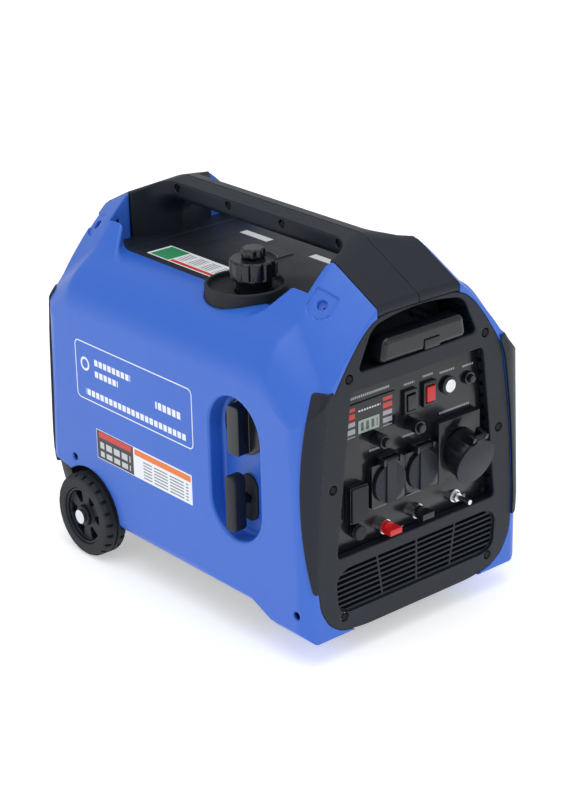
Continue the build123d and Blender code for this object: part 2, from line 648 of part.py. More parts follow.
with BuildPart() as switch_frames:
    for x, z in ROCKERS.values():
        block((x - 10, x + 10), (PANEL_Y - 5, PANEL_Y), (z - 15, z + 15))
        block((x - 6.7, x + 6.7), (PANEL_Y - 6, PANEL_Y - 1), (z - 10.4, z + 10.4), mode=Mode.SUBTRACT)
    ring((START[0], PANEL_Y, START[1]), 11, 8.2, 5, FORWARD)
    ring((RESET[0], PANEL_Y, RESET[1]), 8, 4.6, 5, FORWARD)
    for x, z in BREAKERS.values():
        ring((x, PANEL_Y, z), 8, 5.2, 18, FORWARD)
save(switch_frames.part, "switch_frames")

for name, (x, z) in ROCKERS.items():
    with BuildPart() as rocker:
        block((x - 6.3, x + 6.3), (PANEL_Y - 7, PANEL_Y - 2.6), (z - 9.3, z + 9.3))
    save(rocker.part, name)

with BuildPart() as start_button:
    rod((START[0], PANEL_Y - 2, START[1]), 8, 4.5, FORWARD)
save(start_button.part, "start_button")

with BuildPart() as reset_button:
    rod((RESET[0], PANEL_Y - 2.5, RESET[1]), 4.4, 7, FORWARD)
save(reset_button.part, "reset_button")

for name, (x, z) in BREAKERS.items():
    with BuildPart() as breaker:
        rod((x, PANEL_Y - 3.5, z), 5, 19, FORWARD)
    save(breaker.part, name)

# Two mains sockets with sprung lids
LID_Y = PANEL_Y - 8.4
LID_HINGE_Y = PANEL_Y - 12.0
LID_HINGE_Z = SCHUKO_Z + 29.0
PIN_R = 1.5
with BuildPart() as schuko_sockets:
    for x in SCHUKO_X:
        block((x - 25.7, x + 25.7), (PANEL_Y - 8, PANEL_Y), (SCHUKO_Z - 26, SCHUKO_Z + 26))
        block((x - 14, x + 14), (PANEL_Y - 8, PANEL_Y), (SCHUKO_Z + 20, SCHUKO_Z + 34))
        rod((x, PANEL_Y, SCHUKO_Z), 22, 22, BACK)
        rod((x, PANEL_Y - 9, SCHUKO_Z), 19.5, 26, BACK, mode=Mode.SUBTRACT)
        for side in (-1, 1):
            ear = sorted((x + side * 10.5, x + side * 14))
            block(ear, (LID_HINGE_Y - 4, PANEL_Y - 8), (LID_HINGE_Z - 4, LID_HINGE_Z + 4))
        rod((x - 14, LID_HINGE_Y, LID_HINGE_Z), PIN_R, 28, RIGHT)
save(schuko_sockets.part, "schuko_sockets")

for x, name in zip(SCHUKO_X, ("schuko_lid_left", "schuko_lid_right")):
    with BuildPart() as lid:
        rod((x, LID_Y, SCHUKO_Z), 23.5, 3.4, FORWARD)
        block((x - 7, x + 7), (LID_Y - 5.4, LID_Y), (SCHUKO_Z - 23, LID_HINGE_Z))
        rod((x - 10, LID_HINGE_Y, LID_HINGE_Z), 3.2, 20, RIGHT)
        rod((x - 16, LID_HINGE_Y, LID_HINGE_Z), PIN_R + RUN, 32, RIGHT, mode=Mode.SUBTRACT)
    save(lid.part, name)

# Round socket: a collar that leans down, with a sprung lid
LEAN = radians(15)
COLLAR_DIR = (0, -cos(LEAN), -sin(LEAN))
COLLAR = Plane(origin=(ROUND_X, PANEL_Y - 8, ROUND_Z - 4), x_dir=RIGHT, z_dir=COLLAR_DIR)
COLLAR_LONG = 24.0


def along_collar(x, y, z):
    """A point given across, up and out from the foot of the collar."""
    point = COLLAR.from_local_coords(Vector(x, y, z))
    return (point.X, point.Y, point.Z)


with BuildPart() as round_socket:
    block((ROUND_X - 33, ROUND_X + 33), (PANEL_Y - 8, PANEL_Y), (ROUND_Z - 38, ROUND_Z + 38))
    rod(along_collar(0, 0, -4), 27, COLLAR_LONG + 4, COLLAR_DIR)
    for side in (-1, 1):
        with Locations(COLLAR.location):
            with Locations((side * 9.5, 29, COLLAR_LONG - 7)):
                Box(5, 14, 13)
            with Locations((side * 9.5, 33, COLLAR_LONG - 1)):
                Box(5, 6, 9)
    behind = (PANEL_Y, PANEL_Y + 20)
    block((ROUND_X - 40, ROUND_X + 40), behind, (ROUND_Z - 50, ROUND_Z + 50), mode=Mode.SUBTRACT)
    rod((ROUND_X, PANEL_Y, ROUND_Z), 27, 28, BACK)
    rod(along_collar(0, 0, -9), 23, COLLAR_LONG + 18, COLLAR_DIR, mode=Mode.SUBTRACT)
    rod((ROUND_X, PANEL_Y - 6, ROUND_Z), 23, 30, BACK, mode=Mode.SUBTRACT)
    rod(along_collar(-12, 33, COLLAR_LONG), PIN_R, 24, RIGHT)
save(round_socket.part, "round_socket")

with BuildPart() as round_socket_lid:
    rod(along_collar(0, 0, COLLAR_LONG + 0.4), 29, 4, COLLAR_DIR)
    with Locations(COLLAR.location):
        with Locations((0, 29.5, COLLAR_LONG + 2.4)):
            Box(12, 7, 4)
    rod(along_collar(-6.5, 33, COLLAR_LONG), 3.2, 13, RIGHT)
    rod(along_collar(-12, 33, COLLAR_LONG), PIN_R + RUN, 24, RIGHT, mode=Mode.SUBTRACT)
save(round_socket_lid.part, "round_socket_lid")

# Low-voltage outlets at the left of the panel
USB = (-90.0, 185.0)
DC = (-89.0, 149.0)
with BuildPart() as low_voltage_sockets:
    block((USB[0] - 13, USB[0] + 13), (PANEL_Y - 10, PANEL_Y), (USB[1] - 22, USB[1] + 22))
    slot_y = (PANEL_Y - 11, PANEL_Y - 2)
    block((USB[0] - 8, USB[0] + 8), slot_y, (USB[1] - 14, USB[1] + 10), mode=Mode.SUBTRACT)
    ring((DC[0], PANEL_Y, DC[1]), 9, 5.5, 8, FORWARD)
save(low_voltage_sockets.part, "low_voltage_sockets")

with BuildPart() as usb_flap:
    block((USB[0] - 12, USB[0] + 12), (PANEL_Y - 13, PANEL_Y - 10.4), (USB[1] - 21, USB[1] + 21))
save(usb_flap.part, "usb_flap")

with BuildPart() as dc_cap:
    rod((DC[0], PANEL_Y - 8.4, DC[1]), 8.5, 4, FORWARD)
save(dc_cap.part, "dc_cap")

# Two binding posts and the earth stud
POSTS = {"red_post": (-46.0, 141.0), "black_post": (5.0, 144.0)}
EARTH = (70.0, 141.0)
STUD_R = 3.0
with BuildPart() as terminal_studs:
    for x, z in POSTS.values():
        rod((x, PANEL_Y, z), 9, 6, FORWARD)
        rod((x, PANEL_Y, z), STUD_R, 18, FORWARD)
    rod((EARTH[0], PANEL_Y, EARTH[1]), STUD_R, 26, FORWARD)
    rod((EARTH[0], PANEL_Y, EARTH[1]), 8, 1.5, FORWARD)
    with BuildSketch(Plane.XZ.offset(-PANEL_Y + 1.5)) as nut:
        with Locations(EARTH):
            RegularPolygon(6, 6)
    extrude(nut.sketch, amount=5)
save(terminal_studs.part, "terminal_studs")

for name, (x, z) in POSTS.items():
    with BuildPart() as post:
        rod((x, PANEL_Y - 6.4, z), 8, 6, FORWARD)
        block((x - 9, x + 9), (PANEL_Y - 24, PANEL_Y - 12), (z - 3.5, z + 3.5))
        rod((x, PANEL_Y, z), STUD_R + RUN, 18.5, FORWARD, mode=Mode.SUBTRACT)
    save(post.part, name)
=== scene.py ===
"""Closed-frame inverter generator: moulded casing, carry handle, wheels and control panel.

Lengths inside this file are in millimetres from the middle of the casing, on the ground, with
+X to the right of the control panel, the panel facing -Y and +Z up. They become metres in the
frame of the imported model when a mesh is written.
"""

import itertools
import json
from math import cos, pi, radians, sin

import bmesh
import bpy
import numpy as np
from mathutils import Matrix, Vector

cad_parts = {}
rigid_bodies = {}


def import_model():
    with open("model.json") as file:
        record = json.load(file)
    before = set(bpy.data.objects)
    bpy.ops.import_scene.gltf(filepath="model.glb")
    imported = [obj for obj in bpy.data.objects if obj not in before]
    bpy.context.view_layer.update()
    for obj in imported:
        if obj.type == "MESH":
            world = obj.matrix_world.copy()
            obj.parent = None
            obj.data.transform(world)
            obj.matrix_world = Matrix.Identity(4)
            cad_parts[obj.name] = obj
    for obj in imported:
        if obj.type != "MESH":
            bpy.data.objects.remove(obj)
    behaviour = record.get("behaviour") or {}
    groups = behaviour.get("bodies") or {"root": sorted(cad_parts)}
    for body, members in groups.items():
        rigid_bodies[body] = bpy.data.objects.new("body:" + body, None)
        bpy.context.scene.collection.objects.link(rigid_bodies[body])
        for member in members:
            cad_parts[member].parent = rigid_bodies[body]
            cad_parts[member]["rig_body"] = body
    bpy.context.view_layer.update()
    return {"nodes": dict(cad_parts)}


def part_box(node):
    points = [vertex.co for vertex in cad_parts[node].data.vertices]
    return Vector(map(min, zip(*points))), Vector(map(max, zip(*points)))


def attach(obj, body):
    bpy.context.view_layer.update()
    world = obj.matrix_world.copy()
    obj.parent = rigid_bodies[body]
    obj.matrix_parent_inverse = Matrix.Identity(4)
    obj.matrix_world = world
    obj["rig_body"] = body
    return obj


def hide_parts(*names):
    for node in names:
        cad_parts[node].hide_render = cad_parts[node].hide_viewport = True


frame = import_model()

MM = 0.001
shell_low, shell_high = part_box("left_side_shell")
MIDDLE = (shell_low.y + shell_high.y) / 2

# ---- driving dimensions ---------------------------------------------------------------------
HALF_W, HALF_L, WALL = 171.0, 250.0, 3.5
FRONT_DROP, FRONT_RUN, REAR_FALL = 38, 71, 0.5
SHALLOW_DROP, SHALLOW_RUN, SHALLOW_EDGE = 26, 35, 43.6
STEEP_DROP, STEEP_RUN, STEEP_EDGE = 65, 42, 77.4
CREST_X, CREST_Z, DECK_Z = 63.0, 449.0, 386.0
CREST_FRONT_Y, CREST_REAR_Y, DECK_MIDDLE_Y = -179.0, 194.0, 14
WALL_FRONT_Y, WALL_REAR_Y = -172.0, 197.0
WHEEL_Y, WHEEL_Z, WHEEL_R = 167.0, 54.0, 54.0
WHEEL_IN, WHEEL_OUT, RIM_R = 152.0, 184.0, 38.0
SCOOP_Y, SCOOP_Z = -127.0, 212.0
PANEL_Y = -238.0
FILLER = (-80.0, -60.0)
SCUPPER = (-86.0, -52.0)
BEZEL = [(62, 403), (76, 396), (95, 379), (113, 354), (132, 324), (148, 241), (156, 94)]
BEZEL += [(149, 62), (128, 38), (103, 30)]
BEZEL_SCREWS = [(105, 340), (130, 215), (115, 52)]
HANDLE_SCREWS_Y = (-140, -41, 58, 157)
SLOPE_SCREWS = ((-193, 415), (234, 407))
GAP = 0.3


# ---- shapes as distances --------------------------------------------------------------------
def meet(a, b, r):
    """What two solids share: the larger distance, with an arc of radius r where they cross."""
    arc = np.hypot(np.maximum(a + r, 0), np.maximum(b + r, 0))
    return np.minimum(np.maximum(a, b), -r) + arc


def join(a, b, r):
    """Two solids as one: the smaller distance, with a hollow arc of radius r between them."""
    return -meet(-a, -b, r)


def cut(a, b, r):
    """A solid with another taken out of it, and an arc of radius r round the opening."""
    return meet(a, -b, r)


def between(t, low, high):
    """Distance outside the slab from low to high."""
    return np.abs(t - (low + high) / 2) - (high - low) / 2


def brick(x, y, z, low, high, r):
    """A box from corner to corner with edges of radius r: distance to a smaller box, less r."""
    q = [between(t, a + r, b - r) for t, a, b in zip((x, y, z), low, high)]
    outside = np.sqrt(sum(np.maximum(t, 0) ** 2 for t in q))
    return outside + np.minimum(np.maximum(np.maximum(q[0], q[1]), q[2]), 0) - r


def drum(u, v, t, radius, low, high, r):
    """A round bar: distance from its axis less its radius, met with its two end planes."""
    return meet(np.hypot(u, v) - radius, between(t, low, high), r)


def half_outline(s, z, points, r):
    """A convex outline, the same on both sides: the rounded meeting of all its edge lines."""
    d = meet(z - points[0][1], points[-1][1] - z, r)
    for (s0, z0), (s1, z1) in zip(points, points[1:]):
        edge = ((s - s0) * (z0 - z1) + (z - z0) * (s1 - s0)) / np.hypot(s1 - s0, z1 - z0)
        d = meet(d, edge, r)
    return d


def steps(*runs):
    """Grid lines along one axis: runs of (start, end, spacing), joined end to end."""
    parts = [np.linspace(a, b, max(2, int(round((b - a) / c)) + 1)) for a, b, c in runs]
    return np.unique(np.round(np.concatenate(parts), 4))


def facing(distance, p):
    """Which way a surface faces at points: the gradient of its distance, of length 1."""
    rise = [distance(*(p + e).T) - distance(*(p - e).T) for e in np.eye(3) * 0.15]
    rise = np.stack(rise, 1)
    return rise / np.maximum(np.linalg.norm(rise, axis=1), 1e-9)[:, None]


def skin(distance, axes):
    """The surface where a distance is zero, as vertices, quads and a normal for each corner.

    Every grid edge that the surface crosses gives a tangent plane at its crossing. Each crossed
    cell holds one vertex, at the point nearest to all its planes by least squares, so that it
    lands on a sharp edge where there is one. Each crossed grid edge joins its four cells.
    """
    d = distance(*np.meshgrid(*axes, indexing="ij"))
    size, unit = np.array(d.shape), np.eye(3, dtype=int)
    inside = sum(
        (d[a : size[0] - 1 + a, b : size[1] - 1 + b, c : size[2] - 1 + c] < 0).astype(np.int8)
        for a, b, c in itertools.product((0, 1), repeat=3)
    )
    crossed = (inside > 0) & (inside < 8)
    cells = np.argwhere(crossed)
    index = np.full(crossed.shape, -1)
    index[crossed] = np.arange(len(cells))
    low = np.stack([axes[i][cells[:, i]] for i in range(3)], 1)
    high = np.stack([axes[i][cells[:, i] + 1] for i in range(3)], 1)
    total, hits = np.zeros((len(cells), 3)), np.zeros(len(cells))
    planes, pulls = np.zeros((len(cells), 3, 3)), np.zeros((len(cells), 3))
    quads = []
    for axis in range(3):
        u, v = np.roll(unit, -axis - 1, 0)[:2]
        first = d.take(range(size[axis] - 1), axis) < 0
        second = d.take(range(1, size[axis]), axis) < 0
        at = np.argwhere(first != second)
        at = at[np.all((at - u - v >= 0) & (at < np.array(index.shape)), axis=1)]
        near, far = d[tuple(at.T)], d[tuple((at + unit[axis]).T)]
        start = np.stack([axes[i][at[:, i]] for i in range(3)], 1)
        end = np.stack([axes[i][(at + unit[axis])[:, i]] for i in range(3)], 1)
        for _ in range(3):
            point = start + (end - start) * np.clip(near / (near - far), 0.02, 0.98)[:, None]
            value = distance(*point.T)
            same = (value < 0) == (near < 0)
            start, near = np.where(same[:, None], point, start), np.where(same, value, near)
            end, far = np.where(same[:, None], end, point), np.where(same, far, value)
        point = start + (end - start) * np.clip(near / (near - far), 0, 1)[:, None]
        normal = facing(distance, point)
        quad = []
        for offset in (u + v, v, 0 * u, u):
            cell = index[tuple((at - offset).T)]
            quad.append(cell)
            total[cell] += point
            hits[cell] += 1
            planes[cell] += normal[:, :, None] * normal[:, None, :]
            pulls[cell] += normal * (normal * point).sum(1)[:, None]
        quad = np.stack(quad, 1)
        falling = ~first[tuple(at.T)]
        quad[falling] = quad[falling][:, ::-1]
        quads.append(quad)
    mean = total / np.maximum(hits, 1)[:, None]
    pulls -= (planes * mean[:, None, :]).sum(2)
    verts = mean + np.linalg.solve(planes + 0.02 * np.eye(3), pulls[..., None])[..., 0]
    spare = (high - low) * 0.45
    verts = np.clip(verts, low - spare, high + spare)
    quads = np.concatenate(quads)
    spots = verts[quads] * 0.7 + verts[quads].mean(1, keepdims=True) * 0.3
    return verts, quads, facing(distance, spots.reshape(-1, 3))


def add_mesh(name, verts, faces, finish, body, stands_for=(), normals=None):
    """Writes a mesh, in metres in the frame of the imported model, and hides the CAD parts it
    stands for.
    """
    mesh = bpy.data.meshes.new(name)
    mesh.from_pydata((verts * MM + (0, MIDDLE, 0)).tolist(), [], np.asarray(faces).tolist())
    mesh.shade_smooth()
    if normals is not None:
        mesh.normals_split_custom_set(normals.tolist())
    piece = bpy.data.objects.new(name, mesh)
    bpy.context.scene.collection.objects.link(piece)
    mesh.materials.append(finish)
    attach(piece, body)
    if stands_for:
        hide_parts(*stands_for)
    return piece


def moulding(name, distance, axes, finish, body, slot, stands_for=()):
    """A moulded piece whose surface is where a distance is zero."""
    verts, faces, normals = skin(distance, axes)
    return add_mesh(name, verts, faces, finish, body, stands_for, normals)


def softened(node, width, finish):
    """A CAD node's shape with rounded edges: a merged copy of its mesh, bevelled by width."""
    source = frame["nodes"][node]
    mesh = source.data.copy()
    work = bmesh.new()
    work.from_mesh(mesh)
    bmesh.ops.remove_doubles(work, verts=work.verts, dist=2e-6)
    bmesh.ops.dissolve_limit(work, angle_limit=radians(1.5), verts=work.verts, edges=work.edges)
    work.to_mesh(mesh)
    work.free()
    mesh.materials.clear()
    mesh.materials.append(finish)
    mesh.shade_smooth()
    piece = bpy.data.objects.new(f"{node}_moulded", mesh)
    bpy.context.scene.collection.objects.link(piece)
    edges = piece.modifiers.new("rounded_edges", "BEVEL")
    edges.width = width * MM
    edges.segments = 3
    edges.limit_method = "ANGLE"
    edges.angle_limit = radians(28)
    edges.harden_normals = True
    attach(piece, source["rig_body"])
    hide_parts(node)
    return piece


# ---- finishes -------------------------------------------------------------------------------
class Wire:
    """A number in a shader. Each arithmetic sign on it adds one Math node."""

    def __init__(self, finish, socket):
        self.finish = finish
        self.socket = socket

    def math(self, operation, *values):
        return self.finish.node("ShaderNodeMath", {"operation": operation}, values)

    def __add__(self, other):
        return self.math("ADD", self, other)

    def __sub__(self, other):
        return self.math("SUBTRACT", self, other)

    def __mul__(self, other):
        return self.math("MULTIPLY", self, other)

    def __rsub__(self, other):
        return self.math("SUBTRACT", other, self)

    def __lt__(self, other):
        return self.math("LESS_THAN", self, other)

    def __gt__(self, other):
        return self.math("GREATER_THAN", self, other)

    def __abs__(self):
        return self.math("ABSOLUTE", self)

    def floor_part(self, period):
        return self.math("MODULO", self, period)

    __radd__ = __add__
    __rmul__ = __mul__


class Finish:
    """A surface finish: a Principled shader and the nodes that feed it."""

    def __init__(self, name, **constants):
        self.material = bpy.data.materials.new(name)
        self.material.use_nodes = True
        self.tree = self.material.node_tree
        self.tree.nodes.clear()
        output = self.tree.nodes.new("ShaderNodeOutputMaterial")
        self.shader = self.tree.nodes.new("ShaderNodeBsdfPrincipled")
        self.tree.links.new(self.shader.outputs[0], output.inputs["Surface"])
        for key, value in constants.items():
            self.shader.inputs[key.replace("_", " ")].default_value = value
        self.place = self.node("ShaderNodeTexCoord", {}, {}, "Object")
        apart = self.node("ShaderNodeSeparateXYZ", {}, [self.place])
        axes = [Wire(self, s) for s in apart.socket.node.outputs]
        self.x = axes[0] * 1000
        self.y = axes[1] * 1000 - MIDDLE * 1000
        self.z = axes[2] * 1000

    def node(self, kind, settings, inputs, output=0):
        """Adds a node: its settings first, then the values or links of its sockets."""
        made = self.tree.nodes.new(kind)
        for key, value in settings.items():
            setattr(made, key, value)
        named = inputs.items() if isinstance(inputs, dict) else enumerate(inputs)
        for key, value in named:
            if isinstance(value, Wire):
                self.tree.links.new(value.socket, made.inputs[key])
            else:
                made.inputs[key].default_value = value
        return Wire(self, made.outputs[output])

    def noise(self, scale, detail=3.0, roughness=0.55):
        settings = {"noise_dimensions": "3D"}
        values = {"Vector": self.place, "Scale": scale, "Detail": detail, "Roughness": roughness}
        return self.node("ShaderNodeTexNoise", settings, values, "Fac")

    def mix(self, amount, first, second):
        """One colour turning into another."""
        values = {0: amount, 6: first, 7: second}
        return self.node("ShaderNodeMix", {"data_type": "RGBA"}, values, 2)

    def feed(self, **wires):
        for key, wire in wires.items():
            self.tree.links.new(wire.socket, self.shader.inputs[key.replace("_", " ")])

    def emboss(self, height, strength, depth):
        values = {"Strength": strength, "Distance": depth, "Height": height}
        self.feed(Normal=self.node("ShaderNodeBump", {}, values, "Normal"))

    def patch(self, u, v, low, high, edge=0.0):
        """1 inside a flat rectangle, and 0 outside it."""
        inside_u = abs(u - (low[0] + high[0]) / 2) < (high[0] - low[0]) / 2 - edge
        inside_v = abs(v - (low[1] + high[1]) / 2) < (high[1] - low[1]) / 2 - edge
        return inside_u * inside_v


def rgb(red, green, blue):
    """A colour as a shader stores it, from its display values between 0 and 255."""
    share = np.array([red, green, blue]) / 255
    linear = np.where(share < 0.04045, share / 12.92, ((share + 0.055) / 1.055) ** 2.4)
    return (*linear.tolist(), 1.0)


def moulded_plastic(name, colour, shade, roughness, grain=900.0, depth=0.00022, **constants):
    """Moulded plastic: spark-eroded grain, a slow drift of shade and faint rubbed patches."""
    f = Finish(name, **constants)
    drift, rub, speck = f.noise(5.0, 3), f.noise(45.0, 5, 0.65), f.noise(grain, 2, 0.6)
    f.tint = f.mix(drift * 0.7 + rub * 0.3, colour, shade)
    f.feed(Base_Color=f.tint)
    f.feed(Roughness=(rub - 0.5) * 0.16 + (speck - 0.5) * 0.08 + roughness)
    f.emboss(speck * 0.8 + rub * 0.2, 0.35, depth)
    return f


def plated(name, colour, roughness, **constants):
    """Plated or drawn metal: fine turned lines, dull spots and a little handling haze."""
    f = Finish(name, Metallic=1.0, **constants)
    haze, lines = f.noise(120.0, 4), f.noise(2200.0, 1)
    f.feed(Base_Color=f.mix(haze, colour, tuple(c * 0.75 for c in colour[:3]) + (1.0,)))
    f.feed(Roughness=(haze - 0.5) * 0.2 + (lines - 0.5) * 0.1 + roughness)
    f.emboss(lines, 0.2, 0.0001)
    return f


BLUE, BLUE_SHADE = rgb(44, 104, 208), rgb(38, 96, 200)
BLACK, BLACK_SHADE = rgb(23, 29, 41), rgb(18, 23, 33)
coat = {"Coat_Weight": 0.12, "Coat_Roughness": 0.3}
blue = moulded_plastic("blue_moulding", BLUE, BLUE_SHADE, 0.42, **coat)
black = moulded_plastic("black_moulding", BLACK, BLACK_SHADE, 0.46, Specular_IOR_Level=0.32)
gloss = moulded_plastic("black_polished", rgb(18, 21, 28), rgb(14, 16, 22), 0.24, 1500.0, 0.00001)
rubber = moulded_plastic("rubber_black", rgb(27, 30, 37), rgb(21, 23, 29), 0.7, 500.0, 0.0003)
red = moulded_plastic("red_switch", rgb(214, 28, 30), rgb(190, 20, 24), 0.25, 1500.0, 0.00001)
steel = plated("bright_zinc", (0.78, 0.79, 0.81, 1), 0.22)
dark_steel = plated("black_zinc", (0.02, 0.02, 0.022, 1), 0.45)
cast = plated("cast_aluminium", (0.62, 0.63, 0.65, 1), 0.5)
copper = plated("copper_winding", (0.72, 0.38, 0.2, 1), 0.4)
tray = moulded_plastic("powder_coat", rgb(44, 45, 48), rgb(34, 35, 38), 0.6, 700.0, 0.0003)
hot = moulded_plastic("heatproof_paint", rgb(120, 118, 114), rgb(92, 90, 88), 0.65, 500.0, 0.0003)


def left_side_print(f):
    """The side print: a rounded white frame with plain bars, and a plain two-part label."""
    outside = f.x < -170.2
    white, dark, orange = rgb(236, 240, 246), rgb(28, 30, 34), rgb(236, 120, 34)
    ink = f.tint
    middle_y, middle_z, half_y, half_z = 63.0, 249.5, 115.0, 37.5
    radius = 7.0
    du = abs(f.y - middle_y) - (half_y - radius)
    dv = abs(f.z - middle_z) - (half_z - radius)
    du0, dv0 = du.math("MAXIMUM", du, 0.0), dv.math("MAXIMUM", dv, 0.0)
    square = du0 * du0 + dv0 * dv0
    corner = square.math("SQRT", square)
    inner = du.math("MAXIMUM", du, dv)
    ring = abs(corner + inner.math("MINIMUM", inner, 0.0) - radius) < 0.75
    ink = f.mix(ring * outside, ink, white)
    for y0, y1, z0, z1 in (
        (66, 140, 262, 270),
        (92, 140, 247, 255),
        (-30, 18, 243, 252),
        (-40, 160, 219, 227),
    ):
        stripes = f.patch(f.y, f.z, (y0, z0), (y1, z1)) * ((f.y + 500).floor_part(9.0) > 2.2)
        ink = f.mix(stripes * outside, ink, white)
    away_y, away_z = abs(f.y - 159), abs(f.z - 259)
    away = away_y * away_y + away_z * away_z
    ink = f.mix((away < 81.0) * (away > 36.0) * outside, ink, white)
    # two-part label: dark half with a red head, white half with an orange head
    ink = f.mix(f.patch(f.y, f.z, (-47, 139), (143, 178)) * outside, ink, white)
    ink = f.mix(f.patch(f.y, f.z, (67, 139), (143, 178), 0.8) * outside, ink, dark)
    ink = f.mix(f.patch(f.y, f.z, (72, 168), (138, 176)) * outside, ink, rgb(206, 40, 36))
    ink = f.mix(f.patch(f.y, f.z, (-45, 168), (65, 176)) * outside, ink, orange)
    lines = f.patch(f.y, f.z, (-40, 142), (48, 166)) * ((f.z + 500).floor_part(4.0) > 2.4)
    lines = lines * ((f.y + 500).floor_part(31.0) > 4.0)
    ink = f.mix(lines * outside, ink, rgb(120, 122, 126))
    tiles = f.patch(f.y, f.z, (74, 143), (136, 165)) * ((f.y + 500).floor_part(16.0) > 4.0)
    tiles = tiles * ((f.z + 500).floor_part(12.5) > 4.0)
    ink = f.mix(tiles * outside, ink, rgb(196, 200, 206))
    f.feed(Base_Color=ink)


side_blue = moulded_plastic(
    "blue_moulding_printed", BLUE, BLUE_SHADE, 0.42, Coat_Weight=0.12, Coat_Roughness=0.3
)
left_side_print(side_blue)


def deck_print(f):
    """The deck label: white, with a green head, a red foot and rows of grey."""
    top = f.z > 385.5
    ink = f.mix(f.patch(f.x, f.y, (-84, 5), (-46, 140)) * top, f.tint, rgb(232, 234, 236))
    ink = f.mix(f.patch(f.x, f.y, (-82, 100), (-48, 136)) * top, ink, rgb(48, 140, 92))
    ink = f.mix(f.patch(f.x, f.y, (-82, 8), (-76, 98)) * top, ink, rgb(206, 52, 44))
    rows = f.patch(f.x, f.y, (-73, 10), (-50, 96)) * ((f.x + 500).floor_part(4.0) > 2.2)
    rows = rows * ((f.y + 500).floor_part(24.0) > 5.0)
    ink = f.mix(rows * top, ink, rgb(130, 134, 138))
    for low, high in (((48, 71), (60, 123)), ((48, -70), (60, -8))):
        ink = f.mix(f.patch(f.x, f.y, low, high) * top, ink, rgb(214, 216, 218))
    f.feed(Base_Color=ink)


deck_black = moulded_plastic("black_deck", BLACK, BLACK_SHADE, 0.5, Specular_IOR_Level=0.32)
deck_print(deck_black)


def panel_print(f):
    """The printed panel film: white rules and small plain marks beside each fitting."""
    face = f.y < PANEL_Y + 1.0
    ink, white = f.tint, rgb(150, 154, 160)
    marks = (
        (-96, 308, -34, 311),
        (-12, 303, 4, 305.5),
        (17, 305, 33, 307.5),
        (44, 302, 68, 304.5),
        (80, 300, 98, 302.5),
        (-66, 238, -46, 240.5),
        (-14, 240, 8, 242.5),
        (44, 252, 92, 254.5),
        (-60, 165, -26, 167),
        (-8, 165, 26, 167),
        (-30, 128, -12, 130),
        (18, 128, 30, 130),
        (80, 130, 88, 138),
    )
    for x0, z0, x1, z1 in marks:
        dashes = f.patch(f.x, f.z, (x0, z0), (x1, z1)) * ((f.x + 500).floor_part(3.1) > 0.9)
        ink = f.mix(dashes * face, ink, white)
    f.feed(Base_Color=ink)


film = moulded_plastic("panel_film", rgb(20, 24, 31), rgb(16, 19, 25), 0.22, 1800.0, 0.000006)
panel_print(film)

glass, glass_shade = rgb(20, 22, 26), rgb(16, 18, 21)
display = moulded_plastic("display_window", glass, glass_shade, 0.14, 1800.0, 0.000004)


def display_print(f):
    """The display: a grey window, two columns of red and grey keys, and plain digits' places."""
    face = f.y < PANEL_Y - 1.0
    ink = f.mix(f.patch(f.x, f.z, (-84, 266), (-52, 282)) * face, f.tint, rgb(146, 158, 152))
    digits = f.patch(f.x, f.z, (-81, 269), (-55, 279)) * ((f.x + 500).floor_part(8.0) > 3.5)
    ink = f.mix(digits * face, ink, rgb(70, 78, 76))
    for x0, x1 in ((-103, -88), (-46, -32)):
        keys = f.patch(f.x, f.z, (x0, 264), (x1, 299)) * ((f.z + 500).floor_part(9.0) > 3.0)
        ink = f.mix(keys * face, ink, rgb(196, 48, 44))
        grey = f.patch(f.x, f.z, (x0, 264), (x1, 282)) * ((f.z + 500).floor_part(9.0) > 3.0)
        ink = f.mix(grey * face, ink, rgb(150, 154, 160))
    rule = f.patch(f.x, f.z, (-84, 292), (-50, 294)) * ((f.x + 500).floor_part(4.0) > 1.2)
    ink = f.mix(rule * face, ink, rgb(200, 204, 208))
    f.feed(Base_Color=ink)


display_print(display)


# ---- casing ---------------------------------------------------------------------------------
def fall(y):
    """How far the shoulders have dropped: nothing between the crests, then a straight slope to
    each end, with the corner at the crest softened by a hyperbola."""
    front, rear = CREST_FRONT_Y - y, y - CREST_REAR_Y
    soft = 5.0
    front = (front + np.hypot(front, soft)) / 2
    rear = (rear + np.hypot(rear, soft)) / 2
    return front * FRONT_DROP / FRONT_RUN + rear * REAR_FALL


def plan(s, y, z):
    """The casing seen from above: a rectangle with corner arcs of 20 mm, or 32 mm higher up."""
    return meet(s - HALF_W, np.abs(y) - HALF_L, 20 + 12 * np.clip((z - 120) / 180, 0, 1))


def shoulder(s, y, z):
    """A shoulder's outer side: a shallow plane from the crest, then a steep one, and an arc."""
    level = z + fall(y)
    shallow = ((s - CREST_X) * SHALLOW_DROP + (level - CREST_Z) * SHALLOW_RUN) / SHALLOW_EDGE
    steep = ((s - 102) * STEEP_DROP + (level - 420) * STEEP_RUN) / STEEP_EDGE
    return meet(shallow, steep, 22)


def valley(s, y):
    """Distance outside the two shoulder regions, in plan: each ends at a slanted wall."""
    front = ((s - CREST_X) * -130 + (y - WALL_FRONT_Y) * 137) / 188.9
    rear = ((s - CREST_X) * -110 - (y - WALL_REAR_Y) * 137) / 175.7
    return np.minimum(front, rear)


